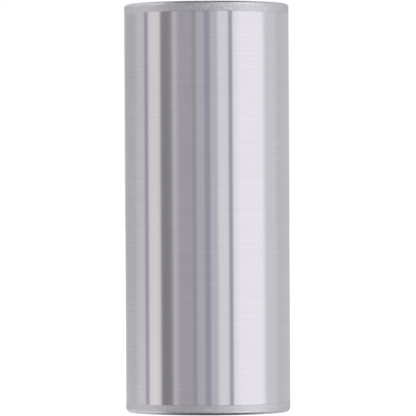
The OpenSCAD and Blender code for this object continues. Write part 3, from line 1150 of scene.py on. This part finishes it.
class CRYPTEX_OT_core_tube(PieceOperator):
    """Turns the core tube and cuts its two long windows and its pin holes"""

    bl_idname = "cryptex.core_tube"
    bl_label = "Core Tube"

    def make(self):
        core = Span("core_tube")
        piece = tube("brass_core", wall_corners(core), "brass", sizes().edge_break)
        cutters = [self.window_tool(angle, core) for angle in (0, math.pi)]
        for k in RINGS:
            pin = Span(f"lock_pin_{k}")
            hole = rod("hole", pin.half + 0.01 * MM, -MM, 4 * MM, "brass", 0)
            cutters.append(move(hole, aimed(FRONT, pin.mid, core.r_in)))
        cut(piece, *cutters)
        fit(piece, "core", "core_tube")

    @staticmethod
    def window_tool(angle, core):
        """A long solid with round ends that passes out through the wall at that angle.

        Its width and ends come from the points on the side faces of the frame's own window near X."""
        sides = [v.co for v in frame["nodes"]["core_tube"].data.vertices
                 if v.co.x > core.r_in * 0.8 and core.low + MM < v.co.z < core.high - MM
                 and abs(v.co.y) < 5 * MM]
        low, high, r = min(p.z for p in sides), max(p.z for p in sides), max(abs(p.y) for p in sides)
        steps = 16
        turns = [math.pi * i / steps for i in range(steps + 1)]
        arc = [(r * math.cos(a), r * math.sin(a)) for a in turns]
        rim = [(y, high - r + z) for y, z in arc] + [(-y, low + r - z) for y, z in arc]
        count = len(rim)
        points = [(x, y, z) for x in (core.r_in * 0.5, core.r_out + MM) for y, z in rim]
        faces = [tuple(range(count)), tuple(range(count, 2 * count))]
        faces += [(i, (i + 1) % count, count + (i + 1) % count, count + i) for i in range(count)]
        mesh = bpy.data.meshes.new("window")
        mesh.from_pydata(points, [], faces)
        return move(tidy(new_object("window", mesh)), Matrix.Rotation(angle, 4, "Z"))


class CRYPTEX_OT_lock_pins(PieceOperator):
    """Turns the five lock pins with their rounded tips"""

    bl_idname = "cryptex.lock_pins"
    bl_label = "Lock Pins"

    def make(self):
        for k in RINGS:
            pin = Span(f"lock_pin_{k}")
            corners = [(0, 0), (pin.half, 0, 0.1 * MM), (pin.half, pin.wall, 0.5 * MM), (0, pin.wall)]
            piece = solid(f"pin_{k}", corners, "hard_steel", 0, steps=5, sides=SMALL_ROUND)
            fit(move(piece, aimed(FRONT, pin.mid, pin.r_in)), "core", f"lock_pin_{k}")


class CRYPTEX_OT_knob(PieceOperator):
    """Turns the pull knob, knurls its grip and sets its cross pin"""

    bl_idname = "cryptex.knob"
    bl_label = "Pull Knob"

    def make(self):
        knob, pin, wanted = Span("pull_knob"), Span("knob_pin"), sizes()
        underside = Span("retaining_collar").high + 0.4 * MM
        boss = Span("core_tube").r_in - SLIP
        dish, dish_r = 0.8 * MM, knob.r_out - 4 * MM
        low, high, rows = underside + 2.2 * MM, knob.high - 3.4 * MM, 56
        grip = [(knob.r_out, low + (high - low) * i / rows, 0) for i in range(rows + 1)]
        piece = solid("knurled_knob", [
            (0, knob.low), (boss, knob.low, 0.3 * MM), (boss, underside, 0),
            (knob.r_out, underside, 0.8 * MM), *grip, (knob.r_out, knob.high, 0.8 * MM), (dish_r, knob.high),
            (dish_r - dish, knob.high - dish, 0.5 * MM), (0, knob.high - dish),
        ], "turned_steel", wanted.edge_break, steps=5, sides=2 * ROUND + 64)
        grow(piece, knurl_tree, "turned_steel", Count=wanted.knurls, Wall_Radius=knob.r_out,
             Low=low, High=high, Depth=wanted.knurl_depth)
        fit(tidy(piece), "core", "pull_knob")
        dowel = rod("cross_pin", pin.half, -pin.r_out, pin.r_out, "dark_steel")
        fit(move(dowel, aimed(BACK, pin.mid)), "core", "knob_pin")


class CRYPTEX_OT_plug(PieceOperator):
    """Turns the plug that closes the foot of the core, and cuts its coin slot"""

    bl_idname = "cryptex.plug"
    bl_label = "Core Plug"

    def make(self):
        plug, seal, core = Span("core_plug"), Span("plug_o_ring"), Span("core_tube")
        neck, groove, lip = core.r_in - SLIP, seal.r_in - SLIP, 0.15 * MM
        piece = solid("oiled_plug", [
            (0, plug.low), (plug.r_out, plug.low, 0.4 * MM), (plug.r_out, core.low), (neck, core.low, 0),
            (neck, seal.low - lip), (groove, seal.low - lip, 0), (groove, seal.high + lip, 0),
            (neck, seal.high + lip), (neck, plug.high, 0.3 * MM), (0, plug.high)],
            "dark_steel", sizes().edge_break)
        slot = block("slot", 0, 1.6 * MM, -plug.r_out - MM, plug.r_out + MM, plug.low - MM, plug.low + MM)
        fit(cut(piece, slot), "core", "core_plug")


class CRYPTEX_OT_vial(PieceOperator):
    """Blows the glass vial with its round foot and rolled lip"""

    bl_idname = "cryptex.vial"
    bl_label = "Glass Vial"

    def make(self):
        vial, steps = Span("glass_vial"), 20
        r, bore = vial.r_out, Span("note_scroll").r_out + VIAL_ROOM
        foot, edge = vial.low + r, (r - bore) / 2
        quarter = [math.pi / 2 * i / steps for i in range(steps + 1)]
        outside = [(r * math.sin(a), foot - r * math.cos(a)) for a in quarter]
        inside = [(bore * math.sin(a), foot - bore * math.cos(a)) for a in reversed(quarter)]
        lip = [(r - edge + edge * math.cos(a), vial.high - edge + edge * math.sin(a))
               for a in (math.pi / 6 * i for i in range(7))]
        piece = turned("clear_vial", outside + lip + inside, "vial_glass", sides=ROUND // 2, closed=False)
        fit(piece, "core", "glass_vial")


class CRYPTEX_OT_stopper(PieceOperator):
    """Cuts the tapered cork"""

    bl_idname = "cryptex.stopper"
    bl_label = "Cork Stopper"

    def make(self):
        cork, vial = Span("vial_stopper"), Span("glass_vial")
        bore = Span("note_scroll").r_out + VIAL_ROOM
        piece = solid("tapered_cork", [
            (0, cork.low), (bore - 0.4 * MM, cork.low, 0.3 * MM), (bore - SLIP, vial.high, 0),
            (cork.r_out, vial.high, 0.3 * MM), (cork.r_out, cork.high, 0.7 * MM), (0, cork.high)],
            "cork", sizes().edge_break, steps=4, sides=ROUND // 2)
        fit(piece, "core", "vial_stopper")


class CRYPTEX_OT_note(PieceOperator):
    """Rolls up the paper note"""

    bl_idname = "cryptex.note"
    bl_label = "Rolled Note"

    def make(self):
        roll, paper = Span("note_scroll"), sizes().paper
        piece = grow(points_object("rolled_note", [(0, 0, roll.mid)]), roll_tree, "note_paper", Turns=9.3,
                     Inner_Radius=roll.r_in + paper, Outer_Radius=roll.r_out - paper,
                     Length=roll.high - roll.low, Thickness=paper)
        fit(tidy(piece), "core", "note_scroll")


# ---------------------------------------------------------------- operator: the stage

# The studio wall that the metal reflects, one panel a row: where its middle is in degrees to the right
# of the camera, how wide it is, how many degrees its edges fade over, how bright it is, and its tint.
PLAIN, CREAM, COOL, BLUE = (0.985, 1.0, 0.985), (1.02, 1.0, 0.95), (1.01, 1.0, 1.04), (0.99, 1.0, 1.13)
WHITE = (1.0, 1.0, 1.0)
WALL = (
    ("back sweep", 180, 120, 50, 0.55, WHITE),
    ("far left sweep", -136, 52, 22, 0.45, PLAIN),
    ("left sweep", -106, 24, 14, 0.53, PLAIN),
    ("left seam", -94.4, 7.4, 3, 0.32, BLUE),
    ("left soft box", -78.4, 22, 6, 0.632, CREAM),
    ("flag shade", -56, 14, 7, 0.29, COOL),
    ("dark flag", -61.2, 14, 6, 0.24, COOL),
    ("flag edge", -44, 8.6, 6, 0.54, CREAM),
    ("front sweep", -30, 24, 10, 0.405, COOL),
    ("front seam", -17.4, 6.4, 4, 0.345, COOL),
    ("front panel", -8.4, 12.4, 4, 0.485, WHITE),
    ("camera", 1.1, 9.2, 3, 0.362, BLUE),
    ("right step", 9.6, 10, 3, 0.54, COOL),
    ("right panel", 23, 16, 5, 0.77, WHITE),
    ("right sweep", 132, 50, 16, 0.595, WHITE),
    ("key fade", 102, 24, 12, 0.69, PLAIN),
    ("key side", 55, 38, 3, 0.86, WHITE),
    ("key soft box", 66, 46, 14, 0.975, WHITE),
    ("right seam", 33.4, 5.2, 2, 0.395, BLUE),
)


def studio_wall(net, level):
    """Colour of the wall in every direction: panels painted over one another from the list."""
    ray = net.split(net.node("ShaderNodeTexCoord")["Generated"])
    right = ray["X"].math("ARCTAN2", ray["Y"] * -1) * (180 / math.pi)
    rise = ray["Z"].math("ARCSINE") * (180 / math.pi)
    paint = grey(0.5)
    for _, middle, width, fade, bright, colour in WALL:
        off = ((right - middle + 180) % 360 - 180).math("ABSOLUTE")
        shown = 1 - off.within(width / 2 - fade / 2, width / 2 + fade / 2)
        paint = net.mix(shown, paint, rgba(colour, bright))
    # The left side is brighter low down and high up, and the ceiling and the ground beyond the wall are dark.
    low_left = (1 - rise.within(-8, 1)) * (1 - right.within(-78, -68))
    high_left = rise.within(2, 9) * (1 - right.within(-54, -42))
    streaks = net.node("ShaderNodeTexNoise", {"W": right * 0.8, "Detail": 4.0}, noise_dimensions="1D")["Fac"]
    gain = (1 + low_left * 0.55 + high_left * 0.5) * (0.93 + streaks * 0.14)
    overhead = rise.within(46, 64) - rise.within(76, 85) * 0.85
    underfoot = 1 - rise.within(-60, -38)
    gain = gain * (1 - overhead * 0.84) * (1 - underfoot * 0.84) * level
    return net.node("ShaderNodeVectorMath", {"Vector": paint, "Scale": gain}, operation="SCALE")["Vector"]


class CRYPTEX_OT_stage(bpy.types.Operator):
    """Sets the camera, the pale floor and the soft studio wall"""

    bl_idname = "cryptex.stage"
    bl_label = "Stage"
    bl_options = {"REGISTER", "UNDO"}

    def execute(self, context):
        self.camera(context)
        self.floor()
        self.world(context)
        context.scene.view_settings.view_transform = "Standard"
        return {"FINISHED"}

    @staticmethod
    def camera(context):
        """Level with the object's middle, and a hair to the right of its axis and above it."""
        stage = context.scene.cryptex_stage
        data = bpy.data.cameras.new("camera")
        data.lens, data.sensor_width = stage.lens, 36
        data.clip_start, data.clip_end = 0.05, 50
        camera = new_object("camera", data)
        middle = (CAD_BOX[0].z + CAD_BOX[1].z) / 2
        camera.matrix_world = (Matrix.Translation((0.22 * MM, -stage.distance, middle + 0.03 * MM))
                               @ Matrix.Rotation(math.pi / 2, 4, "X") @ Matrix.Rotation(-stage.lean, 4, "Z"))
        context.scene.camera = camera

    @staticmethod
    def floor():
        mesh = bpy.data.meshes.new("floor")
        work = bmesh.new()
        bmesh.ops.create_circle(work, cap_ends=True, segments=96, radius=12.0)
        work.to_mesh(mesh)
        work.free()
        floor = new_object("floor", mesh)
        mesh.materials.append(studio_floor())
        floor.visible_glossy = False

    @staticmethod
    def world(context):
        """The wall lights the object, and the camera sees plain white past it."""
        world = bpy.data.worlds.new("studio")
        world.use_nodes = True
        world.node_tree.nodes.clear()
        net = Net(world.node_tree)
        seen = net.node("ShaderNodeLightPath")["Is Camera Ray"]
        wall = studio_wall(net, context.scene.cryptex_stage.wall)
        light = net.node("ShaderNodeBackground", {"Color": wall, "Strength": 1.0})["Background"]
        backdrop = net.node("ShaderNodeBackground", {"Color": grey(1.0), "Strength": 1.0})["Background"]
        shown = net.node("ShaderNodeMixShader", {0: seen, 1: light, 2: backdrop})["Shader"]
        net.node("ShaderNodeOutputWorld", {"Surface": shown})
        context.scene.world = world


# ---------------------------------------------------------------- panel and registration


PIECES = (
    CRYPTEX_OT_stage, CRYPTEX_OT_sleeve, CRYPTEX_OT_bezel, CRYPTEX_OT_base, CRYPTEX_OT_seals,
    CRYPTEX_OT_collar, CRYPTEX_OT_index_pins, CRYPTEX_OT_screws, CRYPTEX_OT_springs, CRYPTEX_OT_digit_rings,
    CRYPTEX_OT_inner_rings, CRYPTEX_OT_core_tube, CRYPTEX_OT_lock_pins, CRYPTEX_OT_knob, CRYPTEX_OT_plug,
    CRYPTEX_OT_vial, CRYPTEX_OT_stopper, CRYPTEX_OT_note,
)


class CRYPTEX_PT_panel(bpy.types.Panel):
    """Lists the cryptex's settings and its operators"""

    bl_label = "Cryptex"
    bl_space_type = "VIEW_3D"
    bl_region_type = "UI"
    bl_category = "Cryptex"

    def draw(self, context):
        for group in (context.scene.cryptex_sizes, context.scene.cryptex_finish, context.scene.cryptex_stage):
            box = self.layout.box()
            for name in group.__annotations__:
                box.prop(group, name)
        for piece in PIECES:
            self.layout.operator(piece.bl_idname)


GROUPS = {"cryptex_sizes": CryptexSizes, "cryptex_finish": CryptexFinish, "cryptex_stage": CryptexStage}


def register():
    for item in (*GROUPS.values(), *PIECES, CRYPTEX_PT_panel):
        bpy.utils.register_class(item)
    for name, group in GROUPS.items():
        setattr(bpy.types.Scene, name, PointerProperty(type=group))


def unregister():
    for name in GROUPS:
        delattr(bpy.types.Scene, name)
    for item in reversed((*GROUPS.values(), *PIECES, CRYPTEX_PT_panel)):
        bpy.utils.unregister_class(item)


def main():
    register()
    for piece in PIECES:
        group, name = piece.bl_idname.split(".")
        if getattr(getattr(bpy.ops, group), name)() != {"FINISHED"}:
            raise RuntimeError(piece.bl_idname + " did not finish")


if __name__ == "__main__":
    main()
